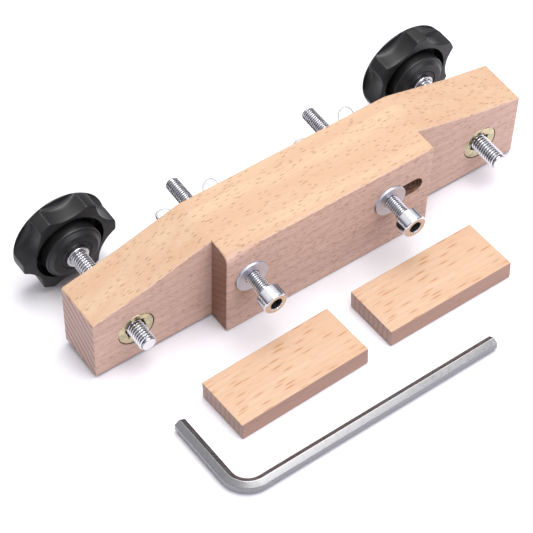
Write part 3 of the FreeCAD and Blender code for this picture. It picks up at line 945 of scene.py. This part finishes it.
def make_cap_screw():
    """An M5 socket head screw: a smooth round head with a hexagon socket, and a fully threaded shank."""
    bm = bmesh.new()
    socket = hexagon(4.05)
    rings = [ring(bm, 0, 3.2), ring(bm, 1.7, 2.65), ring(bm, socket, 2.6), ring(bm, socket, 0.22)]
    rings += [ring(bm, 2.5, 0.0), ring(bm, 3.35, 0.0)]
    rings += [ring(bm, r, h) for r, h in arc((3.45, 0.8), 0.8, -90, 0, 6)[1:]]
    rings += [ring(bm, HEAD_RADIUS, h) for h in (1.2, HEAD_HEIGHT - 0.2)]
    rings += [ring(bm, HEAD_RADIUS - 0.15, HEAD_HEIGHT - 0.02), ring(bm, 3.0, HEAD_HEIGHT)]
    rings += [ring(bm, r, h) for r, h in arc((3.0, HEAD_HEIGHT + 0.5), 0.5, 270, 180, 3)[1:]]
    start, stop = HEAD_HEIGHT + 0.5, HEAD_HEIGHT + SCREW_LENGTH
    rings += thread(bm, SCREW_RADIUS, 0.8, start, stop, ROUND)
    rings += [ring(bm, 0.9, stop), ring(bm, 0, stop)]
    skin(bm, rings)
    return bm


class CLAMP_OT_cap_screws(bpy.types.Operator):
    """Add the socket head screws"""

    bl_idname = "clamp.cap_screws"
    bl_label = "Cap Screws"

    def execute(self, context):
        for side in SIDES:
            spot = bar_point(f"{side}_nut_turn")
            head = -(WASHER_THICKNESS + SCREW_GAP + HEAD_HEIGHT)
            finish_piece(
                f"{side}_socket_screw",
                make_cap_screw(),
                on_bar(spot.x, head, spot.z, math.radians(SOCKET_TURNS[side])),
                SCREW_BODIES[side]["screw"],
                f"{side}_cap_screw",
                "bright_steel",
                "cap_screw",
            )
        return {"FINISHED"}


class CLAMP_OT_washers(bpy.types.Operator):
    """Add the washers at the front and back of the bar"""

    bl_idname = "clamp.washers"
    bl_label = "Washers"

    def execute(self, context):
        for side in SIDES:
            spot = bar_point(f"{side}_nut_turn")
            for place, y in (("front", -WASHER_THICKNESS), ("rear", BAR_DEPTH)):
                bm = bmesh.new()
                profile = eased_ring(2.65, 6.0, 0.02, WASHER_THICKNESS - 0.02, 0.2)
                turned(bm, profile, closed=True)
                finish_piece(
                    f"{side}_{place}_disc",
                    bm,
                    on_bar(spot.x, y, spot.z),
                    SCREW_BODIES[side]["washers"],
                    f"{side}_{place}_washer",
                    "washer_steel",
                )
        return {"FINISHED"}


def between(a, b, c, d, t):
    """A point on the smooth curve from b to c that also heeds a and d."""
    return 0.5 * (2 * b + (c - a) * t + (2 * a - 5 * b + 4 * c - d) * t * t + (3 * b - a - 3 * c + d) * t**3)


def wing_outline():
    """The right wing from the boss outwards and back, as a smooth closed curve."""
    hints = [(1.0, 0.8), (4.4, 0.8), (7.7, 2.3), (10.7, 5.3), (11.8, 7.8), (11.5, 9.9), (10.3, 10.8)]
    hints += [(8.3, 10.6), (6.8, 9.4), (5.7, 7.5), (4.8, 5.9), (1.0, 5.0)]
    points = []
    for i, here in enumerate(hints):
        before, after = hints[i - 1], hints[(i + 1) % len(hints)]
        beyond = hints[(i + 2) % len(hints)]
        for t in (0, 0.25, 0.5, 0.75):
            points.append(tuple(between(*run, t) for run in zip(before, here, after, beyond)))
    return points


def make_wing(sign):
    """One wing as a plate with round edges, thinner than the boss that it grows from."""
    bm = bmesh.new()
    outline = [(sign * x, z) for x, z in wing_outline()]
    centre = (sum(x for x, z in outline) / len(outline), sum(z for x, z in outline) / len(outline))
    rings = []
    for shrink, y in ((0.88, -1.05), (0.96, -0.9), (1.0, -0.5), (1.0, 0.5), (0.96, 0.9), (0.88, 1.05)):
        rings.append([
            bm.verts.new((centre[0] + (x - centre[0]) * shrink, y, centre[1] + (z - centre[1]) * shrink))
            for x, z in outline
        ])
    skin(bm, rings)
    lid(bm, rings[0])
    lid(bm, rings[-1])
    return bm


def make_wing_nut():
    """A cast wing nut: boss and wings melted into one skin, then bored."""
    bm = bmesh.new()
    boss = [(0.0, 0.0), (4.5, 0.0), (4.7, 0.2), (4.7, 1.0), (4.0, 5.4), (3.8, 5.6), (0.0, 5.6)]
    turned(bm, boss)
    for sign in (1, -1):
        bm = combine(bm, make_wing(sign), "UNION")
    mesh = bpy.data.meshes.new("casting")
    bm.to_mesh(mesh)
    bm.free()
    casting = bpy.data.objects.new("casting", mesh)
    bpy.context.collection.objects.link(casting)
    melt = casting.modifiers.new("melt", "REMESH")
    melt.mode = "VOXEL"
    melt.voxel_size = 0.2
    soften = casting.modifiers.new("soften", "SMOOTH")
    soften.factor = 0.5
    soften.iterations = 6
    bm = bmesh.new()
    bm.from_object(casting, bpy.context.evaluated_depsgraph_get())
    bpy.data.objects.remove(casting)
    bpy.data.meshes.remove(mesh)
    bore = peg(2.56, -3, 9, 0, 0)
    bmesh.ops.transform(bore, matrix=BACKWARDS.inverted(), verts=bore.verts)
    return combine(bm, bore, "DIFFERENCE")


class CLAMP_OT_wing_nuts(bpy.types.Operator):
    """Add the wing nuts behind the bar"""

    bl_idname = "clamp.wing_nuts"
    bl_label = "Wing Nuts"

    def execute(self, context):
        for side, turn in zip(SIDES, (-9.0, -14.0)):
            spot = bar_point(f"{side}_nut_turn")
            finish_piece(
                f"{side}_wings",
                make_wing_nut(),
                on_bar(spot.x, spot.y + 0.03, spot.z, math.radians(turn)),
                SCREW_BODIES[side]["nut"],
                f"{side}_wing_nut",
                "bright_steel",
                sharp=math.radians(60),
            )
        return {"FINISHED"}


# Loose pieces, flat on the floor

CAULS = {"left": ((-36.5, -27.4), 1.7), "right": ((23.1, -25.4), 0.5)}
CAUL_SIZE = (49.6, 21.4, 7.0)
KEY_CORNER = (-73.8, -57.0)
KEY_TURN = 0.8
KEY_WIDTH = 4.0
KEY_ARMS = (98.7, 33.4)
KEY_BEND = 8.0


class CLAMP_OT_cauls(bpy.types.Operator):
    """Add the two loose beech cauls"""

    bl_idname = "clamp.cauls"
    bl_label = "Cauls"

    def execute(self, context):
        ease = context.scene.clamp_caul.edge_ease / MM
        size_x, size_y, size_z = CAUL_SIZE
        for side in SIDES:
            (x, y), turn = CAULS[side]

            def section(at, inset):
                radii = [ease] * 4
                return lambda bm: board_section(bm, at, -size_y / 2, size_y / 2, size_z, radii, inset)

            bm = loft([section(at, inset) for at, inset in stations(-size_x / 2, size_x / 2, ease, 2.0)])
            matrix = Matrix.Translation(Vector((x, y, 0)) * MM) @ Matrix.Rotation(math.radians(turn), 4, "Z")
            finish_piece(
                f"{side}_loose_caul",
                bm,
                matrix,
                f"{side}_caul",
                f"{side}_caul",
                "caul_beech",
            )
        return {"FINISHED"}


def key_section():
    """The key's hexagon, one corner up, with its corners rounded a little."""
    soft = 0.3
    reach = KEY_WIDTH / math.sqrt(3) - soft * 2 / math.sqrt(3)
    points = []
    for corner in range(6):
        at = 30 + 60 * corner
        centre = (reach * math.cos(math.radians(at)), reach * math.sin(math.radians(at)))
        points += arc(centre, soft, at - 30, at + 30, 3)
    return points


def key_path():
    """Points along the key's centre line from the long arm's tip, each with its direction."""
    long_arm, short_arm = KEY_ARMS
    path = [((long_arm + (KEY_BEND - long_arm) * i / 12, 0.0), 180.0) for i in range(13)]
    for i in range(1, 24):
        angle = 270 - 90 * i / 24
        path.append((arc((KEY_BEND, KEY_BEND), KEY_BEND, angle, angle, 1)[0], angle - 90))
    path += [((0.0, KEY_BEND + (short_arm - KEY_BEND) * i / 6), 90.0) for i in range(7)]
    return path


def make_key():
    """An L-shaped hexagon rod, bent cold, with its ends sawn square and chamfered."""
    bm = bmesh.new()
    section, path, chamfer = key_section(), key_path(), 0.3
    centre_height = KEY_WIDTH / math.sqrt(3)

    def station(spot, heading, shrink, shift):
        """One cross-section, moved along its heading and drawn in."""
        forward = Vector((math.cos(math.radians(heading)), math.sin(math.radians(heading)), 0))
        across = Vector((-forward.y, forward.x, 0))
        middle = Vector((spot[0], spot[1], centre_height)) + forward * shift
        return [bm.verts.new(middle + across * u * shrink + Vector((0, 0, v * shrink))) for u, v in section]

    end_shrink = 1 - chamfer / (KEY_WIDTH / 2)
    rings = [station(*path[0], end_shrink, 0.0), station(*path[0], 1.0, chamfer)]
    rings += [station(spot, heading, 1.0, 0.0) for spot, heading in path[1:-1]]
    rings += [station(*path[-1], 1.0, -chamfer), station(*path[-1], end_shrink, 0.0)]
    skin(bm, rings)
    lid(bm, rings[0])
    lid(bm, rings[-1])
    return bm


class CLAMP_OT_hex_key(bpy.types.Operator):
    """Add the loose hex key"""

    bl_idname = "clamp.hex_key"
    bl_label = "Hex Key"

    def execute(self, context):
        corner = Matrix.Translation(Vector((*KEY_CORNER, 0)) * MM)
        matrix = corner @ Matrix.Rotation(math.radians(KEY_TURN), 4, "Z")
        finish_piece("hexagon_key", make_key(), matrix, "hex_key", "hex_key", "bright_steel", "key")
        return {"FINISHED"}


# Studio


def add_softbox(name, centre, aim, size, power, tint):
    """A rectangular soft light at centre, facing aim; both in metres."""
    light = bpy.data.lights.new(name, "AREA")
    light.shape = "RECTANGLE"
    light.size, light.size_y = size
    light.energy = power
    light.color = linear(tint)[:3]
    lamp = bpy.data.objects.new(name, light)
    bpy.context.collection.objects.link(lamp)
    lamp.location = centre
    lamp.rotation_euler = (Vector(aim) - Vector(centre)).to_track_quat("-Z", "Y").to_euler()


def light_world():
    """A pale room: bright overhead, with a dark band low down for the plated steel to reflect."""
    world = bpy.data.worlds.new("studio")
    world.use_nodes = True
    tree = world.node_tree
    tree.nodes.clear()
    direction = add(tree, "ShaderNodeTexCoord").outputs["Generated"]
    height = add(tree, "ShaderNodeSeparateXYZ", {"Vector": direction}).outputs["Z"]
    stops = [
        (0.0, linear("#85818F")),
        (0.06, linear("#3E3C46")),
        (0.22, linear("#5A5764")),
        (0.42, linear("#DAD8E2")),
        (0.70, linear("#FFFFFF")),
    ]
    sky = ramp(tree, height, stops)
    background = add(tree, "ShaderNodeBackground", {"Color": sky, "Strength": 1.1})
    add(tree, "ShaderNodeOutputWorld", {"Surface": background.outputs[0]})
    bpy.context.scene.world = world


def add_floor(settings):
    """A wide sheet of white paper, a hair below the pieces that lie on it."""
    bm = bmesh.new()
    bmesh.ops.create_grid(bm, x_segments=1, y_segments=1, size=4.0)
    mesh = bpy.data.meshes.new("floor")
    bm.to_mesh(mesh)
    bm.free()
    floor = bpy.data.objects.new("floor", mesh)
    bpy.context.collection.objects.link(floor)
    floor.location.z = -0.2 * MM
    material, tree, shader = new_material("matt white paper")
    shader.inputs["Base Color"].default_value = tuple(settings.floor)
    shader.inputs["Roughness"].default_value = 0.9
    shader.inputs["Specular IOR Level"].default_value = 0.1
    mesh.materials.append(material)


def add_camera(settings):
    """Look at the clamp from its left front corner, well above it, through a long lens."""
    target = Vector((-19.916, 6.482, 12.0)) * MM
    a, e, roll = settings.azimuth, settings.elevation, settings.roll
    back = Vector((math.sin(a) * math.cos(e), -math.cos(a) * math.cos(e), math.sin(e)))
    level = Vector((math.cos(a), math.sin(a), 0))
    upright = back.cross(level)
    right = level * math.cos(roll) + upright * math.sin(roll)
    up = upright * math.cos(roll) - level * math.sin(roll)
    camera = bpy.data.cameras.new("camera")
    camera.lens = settings.lens
    camera.sensor_width = 36.0
    camera.clip_end = 10.0
    holder = bpy.data.objects.new("camera", camera)
    bpy.context.collection.objects.link(holder)
    rotation = Matrix((right, up, back)).transposed().to_4x4()
    holder.matrix_world = Matrix.Translation(target + back * settings.distance) @ rotation
    bpy.context.scene.camera = holder


class CLAMP_OT_studio(bpy.types.Operator):
    """Add the floor, the lights and the camera"""

    bl_idname = "clamp.studio"
    bl_label = "Studio"

    def execute(self, context):
        settings = context.scene.clamp_studio
        add_floor(settings)
        light_world()
        add_softbox("overhead", (0.14, -0.05, 0.95), (0, 0, 0), (0.9, 0.7), 13.4, "#FFFDFA")
        add_softbox("front fill", (0.2, -0.9, 0.5), (0, 0, 0.02), (0.7, 0.3), 4.0, "#EFEBFF")
        add_camera(settings)
        context.scene.view_settings.view_transform = "Standard"
        return {"FINISHED"}


# Panel and registration


OPERATORS = (
    CLAMP_OT_bar,
    CLAMP_OT_inserts,
    CLAMP_OT_studs,
    CLAMP_OT_collars,
    CLAMP_OT_knobs,
    CLAMP_OT_cap_screws,
    CLAMP_OT_washers,
    CLAMP_OT_wing_nuts,
    CLAMP_OT_cauls,
    CLAMP_OT_hex_key,
    CLAMP_OT_studio,
)
SETTINGS = {
    "clamp_bar": BarSettings,
    "clamp_caul": CaulSettings,
    "clamp_knob": KnobSettings,
    "clamp_hardware": HardwareSettings,
    "clamp_studio": StudioSettings,
}


class CLAMP_PT_panel(bpy.types.Panel):
    """The clamp's pieces and their settings"""

    bl_idname = "CLAMP_PT_panel"
    bl_label = "Clamping Bar"
    bl_space_type = "VIEW_3D"
    bl_region_type = "UI"
    bl_category = "Clamp"

    def draw(self, context):
        for name, group in SETTINGS.items():
            box = self.layout.box()
            for field in group.__annotations__:
                box.prop(getattr(context.scene, name), field)
        for operator in OPERATORS:
            self.layout.operator(operator.bl_idname)


def register():
    for cls in (*SETTINGS.values(), *OPERATORS, CLAMP_PT_panel):
        bpy.utils.register_class(cls)
    for name, group in SETTINGS.items():
        setattr(bpy.types.Scene, name, PointerProperty(type=group))


def unregister():
    for name in SETTINGS:
        delattr(bpy.types.Scene, name)
    for cls in (CLAMP_PT_panel, *reversed(OPERATORS), *SETTINGS.values()):
        bpy.utils.unregister_class(cls)


def main():
    register()
    for operator in OPERATORS:
        getattr(bpy.ops.clamp, operator.bl_idname.split(".")[1])()


if __name__ == "__main__":
    main()
